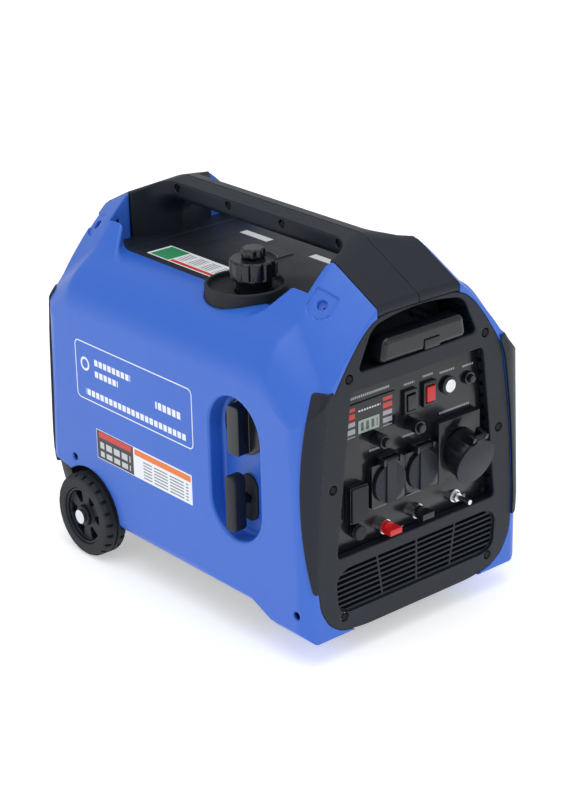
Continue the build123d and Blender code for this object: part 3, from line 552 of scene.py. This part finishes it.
def body_form(s, y, z):
    """The blue casing as a solid: shoulders joined to a body with rolled upper edges."""
    top = meet(shoulder(s, y, z), z + fall(y) - CREST_Z - 2, 4)
    shoulders = meet(top, valley(s, y), 7)
    shoulders = meet(shoulders, s - HALF_W, 14)
    core = meet(z - DECK_Z + fall(y) * 1.6, s - HALF_W, 66)
    solid = join(shoulders, core, 9)
    belly = 45 - 15 * np.clip((-150 - y) / 35, 0, 1)
    tuck = ((s - HALF_W) + (belly + 14 - z)) / 1.414
    solid = meet(solid, meet(belly - z, tuck, 3), 3)
    solid = meet(solid, np.abs(y) - HALF_L, 1.5)
    return np.maximum(solid, plan(s, y, z))


def scoop(s, y, z):
    """The oval recess in the left side: a stadium outline with a flat floor."""
    oval = np.hypot(y - SCOOP_Y, np.maximum(np.abs(z - SCOOP_Z) - 43, 0)) - 45
    return meet(oval, 148 - s, 5)


def slope_at(y_at, z_at):
    """The distance from the middle at which a shoulder slope has a given height."""
    return CREST_X + (CREST_Z - fall(np.float64(y_at)) - z_at) * SHALLOW_RUN / SHALLOW_DROP


def screw_pocket(s, y, z, y_at, z_at):
    """A five-sided pocket in a shoulder slope, pointed towards the wall and 3.5 mm deep."""
    down = (s - slope_at(y_at, z_at)) * SHALLOW_RUN - (z - z_at) * SHALLOW_DROP
    down = down / SHALLOW_EDGE
    away = np.abs(y - y_at)
    sides = meet(meet(away - 15, -down - 15, 1), down - 17, 1)
    corner = (down + away) / 1.414 - 16
    return meet(meet(sides, corner, 1), -shoulder(s, y, z) - 3.5, 1)


def side_shell(side):
    """One half of the casing: the form's wall, thicker in the shoulders, with openings cut out."""

    def distance(x, y, z):
        s = side * x
        form = body_form(s, y, z)
        if side < 0:
            form = cut(form, scoop(s, y, z), 3.5)
        for y_at, z_at in SLOPE_SCREWS:
            form = cut(form, screw_pocket(s, y, z, y_at, z_at), 1.2)
        wall = WALL + 1 + 9 * np.clip((z - 285) / 30, 0, 1) * np.clip((s - 60) / 4, 0.4, 1)
        shell = meet(form, -form - wall, 0.8)
        ends = meet(half_outline(s, z, BEZEL, 9) - GAP, 205 - np.abs(y), 1)
        shell = np.maximum(shell, -ends)
        shell = np.maximum(shell, CREST_X + GAP - s)
        deck = meet(between(y, -172.3, 200.3), meet(s - 95, 360 - z, 1), 1)
        shell = cut(shell, deck, 1)
        underside = brick(s, y, z, (-50, -150, 0), (160, 400, 60), 1)
        low = np.minimum(np.maximum(s - 98, z - 70), underside)
        shell = cut(shell, low, 1)
        arch = np.minimum(
            np.hypot(y - WHEEL_Y, z - WHEEL_Z) - 62, meet(193 - y, z - 102 - (y - 193) * 0.17, 3)
        )
        arch = np.minimum(arch, meet(105 - y, z - WHEEL_Z, 3))
        shell = cut(shell, meet(arch, 116 - s, 1), 2.2)
        for y_at, z_at in ((-231, 66), (193, 124)):
            shell = cut(shell, meet(np.hypot(y - y_at, z - z_at) - 5, 160 - s, 1), 1.5)
        for y_at, z_at in SLOPE_SCREWS:
            turn = (s - slope_at(y_at, z_at)) * SHALLOW_RUN - (z - z_at) * SHALLOW_DROP
            radius = np.hypot(turn / SHALLOW_EDGE, y - y_at)
            hole = meet(radius - 6.2, -shoulder(s, y, z) - 11, 1)
            shell = cut(shell, hole, 1.2)
        if side < 0:
            shell = cut(shell, meet(np.hypot(x - SCUPPER[0], y - SCUPPER[1]) - 48.3, 350 - z, 1), 1)
        else:
            door = meet(meet(between(y, -60, 120), between(z, 120, 290), 4), 160 - s, 1)
            shell = cut(shell, door, 1)
        return shell

    across = steps((60, 141, 2.7), (141, 177, 1.8))
    along = steps((-254, -196, 2.4), (-196, -60, 2.8), (-60, 80, 4.5), (80, 254, 2.9))
    up = steps((24, 120, 2.8), (120, 310, 3.8), (310, 455, 2.4))
    axes = (across if side > 0 else -across[::-1], along, up)
    name, node = (("shell_left", "left_side_shell"), ("shell_right", "right_side_shell"))[side > 0]
    finish = side_blue if side < 0 else blue
    moulding(name, distance, axes, finish.material, "root", "blue_shell", (node,))


side_shell(-1)
side_shell(1)


def saddle_half(side):
    """One half of the carry handle and saddles: a hollow roofed saddle at each end, joined to a
    rounded bar by wide hollow arcs, and halved along the middle."""

    def distance(x, y, z):
        s = np.abs(x)
        share = 1 - s / CREST_X
        front = z - CREST_Z - 2 * share - (y - CREST_FRONT_Y) * FRONT_DROP / FRONT_RUN
        front = front * 0.88
        rear = (z - CREST_Z - 2 * share - (CREST_REAR_Y - y) * REAR_FALL) * 0.88
        top = meet(meet(front, rear, 3), z - CREST_Z - 13 * share, 5)
        walls = np.minimum(y - WALL_FRONT_Y, WALL_REAR_Y - y) - 20 * share
        saddle = meet(meet(top, walls, 5), np.abs(y) - HALF_L, 5)
        saddle = meet(saddle, s - CREST_X + GAP, 1.5)
        bar = brick(x, y, z, (-21, -190, 434), (21, 206, 462), 8)
        form = join(saddle, np.maximum(bar, top), 24)
        form = np.maximum(form, top)
        form = meet(form, s - CREST_X + GAP, 1.5)
        hollow = meet(saddle + WALL, z - 430, 3)
        form = cut(form, hollow, 1)
        form = np.maximum(form, 381 - z)
        ends = meet(half_outline(s, z, BEZEL, 6) - GAP, 205 - np.abs(y), 1)
        form = cut(form, ends, 1.2)
        for y_at in HANDLE_SCREWS_Y:
            form = cut(form, meet(np.hypot(y - y_at, z - 450) - 5, 18 - s, 0.5), 1)
        form = meet(form, 0.2 - side * x, 1.6)
        strips = between(np.abs(y - DECK_MIDDLE_Y), 154.6, 190)
        floor = meet(strips, between(z, 381.5, DECK_Z + 0.4), 0.8)
        return np.minimum(form, np.maximum(np.maximum(floor, s - 94.5), 0.2 - side * x))

    across = steps((-1, 66, 2.1), (66, 98, 4))
    along = steps((-253, -120, 2.1), (-120, 145, 3.4), (145, 253, 2.1))
    axes = (across if side > 0 else -across[::-1], along, steps((379, 470, 2.1)))
    name, node = (("saddle_left", "top_cover_left"), ("saddle_right", "top_cover_right"))[side > 0]
    moulding(name, distance, axes, black.material, "root", "black_shell", (node,))


saddle_half(-1)
saddle_half(1)


def pads(x, y, z):
    """Four bowed pads, 3 mm proud of each vertical corner and widest at half height."""
    s, e = np.abs(x), np.abs(y)
    wrap = body_form(s, y, z)
    skin_only = meet(wrap - 2.8, -5 - wrap, 0.8)
    tall = between(z, 95, 331)
    bow = 14 * (1 - ((z - 213) / 118) ** 2) - 7
    outer = ((s - 171) - (e - 250)) / 1.414 - bow
    inner = 0.6 - half_outline(s, z, BEZEL, 9)
    return meet(skin_only, meet(meet(tall, outer, 4), inner, 0.6), 0.8)


def build_pads():
    """The pads are built one corner at a time, and make one piece."""
    verts, faces, normals, start = [], [], [], 0
    for sx, sy in itertools.product((-1, 1), repeat=2):
        across, along = steps((128, 177, 1.5)), steps((227, 256, 1.5))
        axes = (
            across if sx > 0 else -across[::-1],
            along if sy > 0 else -along[::-1],
            steps((92, 334, 2.6)),
        )
        v, f, n = skin(pads, axes)
        verts.append(v)
        faces.append(f + start)
        normals.append(n)
        start += len(v)
    joined = [np.concatenate(part) for part in (verts, faces, normals)]
    finish, stands_for = black.material, ("corner_pads",)
    verts, faces, normals = joined
    add_mesh("corner_guards", verts, faces, finish, "root", stands_for, normals)


build_pads()


# ---- wheels ---------------------------------------------------------------------------------
def wheel(side):
    """A tyre with a blocked tread, and a rim with six windows and a hub."""
    body = "left_wheel" if side < 0 else "right_wheel"

    def polar(y, z):
        radius = np.hypot(y - WHEEL_Y, z - WHEEL_Z)
        return radius, np.arctan2(z - WHEEL_Z, y - WHEEL_Y)

    def tyre(x, y, z):
        s = side * x
        radius, turn = polar(y, z)
        middle, half = (WHEEL_IN + WHEEL_OUT) / 2, (WHEEL_OUT - WHEEL_IN) / 2
        solid = meet(meet(radius - WHEEL_R, np.abs(s - middle) - half, 7), RIM_R - 1 - radius, 2)
        wave = np.abs((turn * 22 / (2 * pi) + 0.25 * np.sign(s - middle)) % 1 - 0.5)
        groove = meet((0.5 - wave) * 2 * pi * WHEEL_R / 22 - 2.2, 50.5 - radius, 0.6)
        groove = meet(groove, 6 - np.abs(s - middle), 0.6)
        belt = meet(np.abs(s - middle) - 1.6, 51 - radius, 0.6)
        return cut(cut(solid, groove, 0.8), belt, 0.8)

    def rim(x, y, z):
        s = side * x
        radius, turn = polar(y, z)
        sector = (turn + pi / 2) % (pi / 3) - pi / 6
        u, v = radius * np.cos(sector), radius * np.sin(sector)
        solid = meet(radius - RIM_R + 0.8, between(s, WHEEL_IN + 2, WHEEL_OUT - 2), 2)
        dish = meet(radius - 33.5, WHEEL_OUT - 7 - s, 2)
        back = meet(radius - 33.5, s - WHEEL_IN - 12, 2)
        solid = cut(cut(solid, dish, 1.5), back, 1.5)
        window = meet(meet(u - 32, 17 - u, 2.5), np.abs(v) - 2 - (u - 15) * 0.36, 2.5)
        solid = cut(solid, window, 1.2)
        hub = drum(y - WHEEL_Y, z - WHEEL_Z, s, 13, WHEEL_IN, WHEEL_OUT - 0.4, 1.5)
        return cut(join(solid, hub, 2), radius - 5.1, 0.4)

    lateral = steps((WHEEL_IN - 2, WHEEL_OUT + 2, 1.4))
    ring = (steps((WHEEL_Y - 56, WHEEL_Y + 56, 1.5)), steps((WHEEL_Z - 56, WHEEL_Z + 56, 1.5)))
    across = lateral if side > 0 else -lateral[::-1]
    moulding(f"{body}_tyre", tyre, (across, *ring), rubber.material, body, "wheel", (body,))
    ring = (steps((WHEEL_Y - 40, WHEEL_Y + 40, 1.2)), steps((WHEEL_Z - 40, WHEEL_Z + 40, 1.2)))
    moulding(f"{body}_rim", rim, (across, *ring), black.material, body, "wheel")


wheel(-1)
wheel(1)


# ---- fuel filler ----------------------------------------------------------------------------
def cap_shape(x, y, z):
    """The fuel cap: a round cap with twelve grip flutes, a skirt and a hollow for the neck."""
    u, v = x - FILLER[0], y - FILLER[1]
    radius, turn = np.hypot(u, v), np.arctan2(v, u)
    solid = meet(radius - 28, between(z, 404, 428), 3)
    sector = turn % (pi / 6) - pi / 12
    flute = np.hypot(radius * np.cos(sector) - 29.3, radius * np.sin(sector)) - 3.2
    solid = cut(solid, meet(flute, 407 - z, 1), 1)
    solid = cut(solid, meet(radius - 21.6, z - 424, 0.5), 0.5)
    return cut(solid, meet(radius - 5.1, 425 - z, 0.4), 0.4)


def vent_shape(x, y, z):
    """The vent knob: a small eight-lobed knob on a short stem."""
    u, v = x - FILLER[0], y - FILLER[1]
    radius, turn = np.hypot(u, v), np.arctan2(v, u)
    lobes = 13.4 + 0.9 * np.cos(8 * turn)
    knob = meet((radius - lobes) * 0.95, between(z, 428.4, 440.3), 2.4)
    return np.minimum(knob, meet(radius - 4.9, between(z, 425.6, 430), 0.3))


def scupper_shape(x, y, z):
    """The filler surround: a round tray with a rolled rim and a floor that is open for the neck."""
    radius = np.hypot(x - SCUPPER[0], y - SCUPPER[1])
    solid = meet(radius - 47.8, between(z, 377, 398), 2.2)
    solid = cut(solid, meet(radius - 44, 388 - z, 5), 1.5)
    solid = cut(solid, meet(radius - 45, z - 385, 1), 1)
    return cut(solid, np.hypot(x - FILLER[0], y - FILLER[1]) - 22.5, 1)


axes = (steps((-110, -50, 1.0)), steps((-90, -30, 1.0)), steps((402, 430, 1.0)))
look = (gloss.material, "fuel_cap", "black_gloss", ("fuel_cap",))
moulding("fuel_cap_fluted", cap_shape, axes, *look)
axes = (steps((-96, -64, 0.8)), steps((-76, -44, 0.8)), steps((424, 442, 0.8)))
look = (gloss.material, "vent_knob", "black_gloss", ("vent_knob",))
moulding("vent_knob_lobed", vent_shape, axes, *look)
axes = (steps((-136, -36, 1.6)), steps((-102, -2, 1.6)), steps((374, 400, 1.2)))
look = (rubber.material, "root", "rubber", ("fuel_scupper",))
moulding("filler_surround", scupper_shape, axes, *look)


# ---- front bezel and tow grip -----------------------------------------------------------------
def mouth(s, z):
    """The tow-grip opening: an arched top, slanted ends and rounded corners."""
    arch = z - 400 + 8 * (s / 66) ** 2
    ends = ((s - 68) * 46 + (z - 394) * 22) / 51.0
    return meet(meet(arch, 344 - z, 7), ends, 8)


def front_bezel(x, y, z):
    """The front bezel: a rimmed plate with the panel recess, the tow pocket, a slatted grille
    behind a rounded outline, and a countersink for each screw."""
    s = np.abs(x)
    outline = half_outline(s, z, BEZEL, 9)
    plate = meet(outline, between(y, -250, -244), 2)
    rim = meet(meet(outline, -outline - 3, 0.5), between(y, -248, -229), 0.5)
    solid = np.minimum(plate, rim)
    recess = half_outline(s, z, [(104, 323), (114, 241), (127, 127)], 8)
    lining = meet(meet(recess - 2.4, -recess, 0.5), between(y, -248, -238.2), 0.5)
    solid = cut(np.minimum(solid, lining), meet(recess, -262 - y, 1), 1.6)
    pocket = mouth(s, z)
    lining = meet(meet(pocket - 2.4, -pocket, 0.5), between(y, -248, -192), 0.5)
    back = meet(pocket - 2.4, between(y, -192.2, -189.6), 0.5)
    solid = cut(np.minimum(np.minimum(solid, lining), back), meet(pocket, y + 192.2, 1), 2.2)
    guides = np.hypot(s - 48, z - 366) - 6.4
    solid = np.maximum(solid, -meet(guides, -196 - y, 0.3))
    frame_line = half_outline(s, z, [(113, 113), (127, 101), (124, 64), (112, 56)], 6)
    solid = cut(solid, meet(frame_line, y + 246.5, 0.6), 0.8)
    block = meet(frame_line + 0.5, between(y, -247, -237), 0.5)
    solid = np.minimum(solid, block)
    slot = np.abs((z - 59) % 6.6 - 3.3) - 2.1
    rib = 1.3 - np.minimum(s, np.abs(s - 58 - (z - 85) * 0.16))
    gap = meet(meet(frame_line + 2.5, slot, 0.3), rib, 0.3)
    solid = np.maximum(solid, -gap)
    for x_at, z_at in BEZEL_SCREWS:
        solid = cut(solid, np.hypot(s - x_at, z - z_at) - 5.6, 1.0)
    return solid


def tow_grip(x, y, z):
    """The tow grip: a bar with slanted ends, and a five-sided button pocket."""
    s = np.abs(x)
    bar = brick(x, y, z, (-90, -260, 349), (90, -232, 377), 7)
    ends = ((s - 65.5) * 28 + (z - 349) * 5) / 28.4
    bar = meet(bar, ends, 7)
    button = brick(x, y, z, (-2, -264, 349), (22, -251, 362), 1.0)
    return cut(bar, button, 1.0)


axes = (steps((-160, 160, 1.8)), steps((-252, -226, 1.3), (-226, -188, 3)), steps((27, 407, 1.8)))
look = (black.material, "root", "black_shell", ("front_bezel",))
moulding("bezel_moulded", front_bezel, axes, *look)
axes = (steps((-72, 72, 1.1)), steps((-262, -230, 1.0)), steps((346, 380, 1.0)))
look = (gloss.material, "tow_handle", "black_gloss", ("tow_grip",))
moulding("tow_grip_moulded", tow_grip, axes, *look)

# ---- panel and fittings that keep their CAD shape with rounded edges --------------------------
for node, width, finish, slot in (
    ("rear_cover", 1.4, black, "black_shell"),
    ("control_panel", 0.3, film, "panel_film"),
    ("display_module", 0.5, display, "panel_film"),
    ("service_door", 0.8, blue, "blue_shell"),
    ("top_deck", 1.0, deck_black, "black_shell"),
    ("tow_release_button", 1.0, gloss, "black_gloss"),
    ("run_knob", 1.5, gloss, "black_gloss"),
    ("recoil_grip", 2.5, black, "black_shell"),
    ("recoil_plate", 0.8, rubber, "rubber"),
    ("switch_frames", 0.8, gloss, "black_gloss"),
    ("idle_rocker", 1.0, gloss, "black_gloss"),
    ("main_rocker", 1.0, red, "red_switch"),
    ("start_button", 0.6, steel, "button_steel"),
    ("reset_button", 0.6, gloss, "black_gloss"),
    ("breaker_button_left", 0.6, gloss, "black_gloss"),
    ("breaker_button_right", 0.6, gloss, "black_gloss"),
    ("schuko_sockets", 1.0, gloss, "black_gloss"),
    ("schuko_lid_left", 0.9, black, "black_shell"),
    ("schuko_lid_right", 0.9, black, "black_shell"),
    ("round_socket", 1.0, gloss, "black_gloss"),
    ("round_socket_lid", 1.2, black, "black_shell"),
    ("low_voltage_sockets", 0.8, gloss, "black_gloss"),
    ("usb_flap", 0.7, rubber, "rubber"),
    ("dc_cap", 0.8, rubber, "rubber"),
    ("red_post", 1.0, red, "red_switch"),
    ("black_post", 1.0, gloss, "black_gloss"),
    ("base_tray", 1.0, tray, "tray_metal"),
):
    softened(node, width, finish.material)

for node, finish in (
    ("rubber_feet", rubber),
    ("casing_screws", dark_steel),
    ("wheel_axle", steel),
    ("tow_rails", steel),
    ("tow_guides", steel),
    ("fuel_tank", gloss),
    ("filler_neck", gloss),
    ("cap_gasket", rubber),
    ("recoil_housing", black),
    ("recoil_reel", black),
    ("engine_block", cast),
    ("crankshaft", steel),
    ("piston", cast),
    ("flywheel_fan", steel),
    ("stator", copper),
    ("muffler", hot),
    ("carburettor", cast),
    ("air_filter_box", black),
    ("battery", gloss),
    ("inverter_module", tray),
    ("terminal_studs", steel),
):
    mesh = frame["nodes"][node].data
    mesh.materials.clear()
    mesh.materials.append(finish.material)


# ---- studio and camera ------------------------------------------------------------------------
def studio():
    """A pale floor, a white surround and three large soft lamps."""
    ring = np.linspace(-9, 9, 2)
    corners = np.array([(x, y, 0.0) for x in ring for y in ring])
    mesh = bpy.data.meshes.new("studio_floor")
    mesh.from_pydata(corners.tolist(), [], [(0, 2, 3, 1)])
    floor = bpy.data.objects.new("studio_floor", mesh)
    bpy.context.scene.collection.objects.link(floor)
    paper = Finish(
        "studio_paper",
        Base_Color=(0.93, 0.93, 0.93, 1),
        Roughness=0.9,
        Emission_Color=(1, 1, 1, 1),
        Emission_Strength=0.42,
    )
    mesh.materials.append(paper.material)
    world = bpy.data.worlds.new("studio_white")
    bpy.context.scene.world = world
    world.use_nodes = True
    surround = world.node_tree.nodes["Background"]
    surround.inputs["Color"].default_value = (0.96, 0.98, 1.0, 1)
    surround.inputs["Strength"].default_value = 0.62
    for name, power, width, spot, aim in (
        ("lamp_over", 25, 2.4, (-0.4, -0.3, 2.6), (0, 0, 0.2)),
        ("lamp_front", 9, 1.8, (0.9, -2.6, 1.4), (0, 0, 0.25)),
        ("lamp_left", 5, 1.8, (-2.8, -0.2, 1.3), (0, 0, 0.25)),
    ):
        light = bpy.data.lights.new(name, "AREA")
        light.energy = power
        light.size = width
        lamp = bpy.data.objects.new(name, light)
        bpy.context.scene.collection.objects.link(lamp)
        back = np.array(spot) - np.array(aim)
        back /= np.linalg.norm(back)
        right = np.cross((0, 0, 1), back) + (1e-6, 0, 0)
        right /= np.linalg.norm(right)
        up = np.cross(back, right)
        turn = Matrix(np.stack([right, up, back], 1).tolist()).to_4x4()
        lamp.matrix_world = Matrix.Translation(spot) @ turn
    bpy.context.scene.view_settings.view_transform = "Standard"


def camera():
    """A long lens at the front left corner, a little above, rolled by a degree."""
    azimuth, height, roll = radians(-39.93), radians(22.61), radians(-1.26)
    back = np.array([sin(azimuth) * cos(height), -cos(azimuth) * cos(height), sin(height)])
    level = np.array([cos(azimuth), sin(azimuth), 0.0])
    upright = np.cross(back, level)
    right = cos(roll) * level + sin(roll) * upright
    up = -sin(roll) * level + cos(roll) * upright
    lens = bpy.data.cameras.new("camera")
    lens.sensor_width = 36.0
    lens.lens = 94.1
    eye = bpy.data.objects.new("camera", lens)
    bpy.context.scene.collection.objects.link(eye)
    turn = Matrix(np.stack([right, up, back], 1).tolist()).to_4x4()
    eye.matrix_world = Matrix.Translation((-1.5115, -1.8166 + MIDDLE, 1.1943)) @ turn
    bpy.context.scene.camera = eye


studio()
camera()
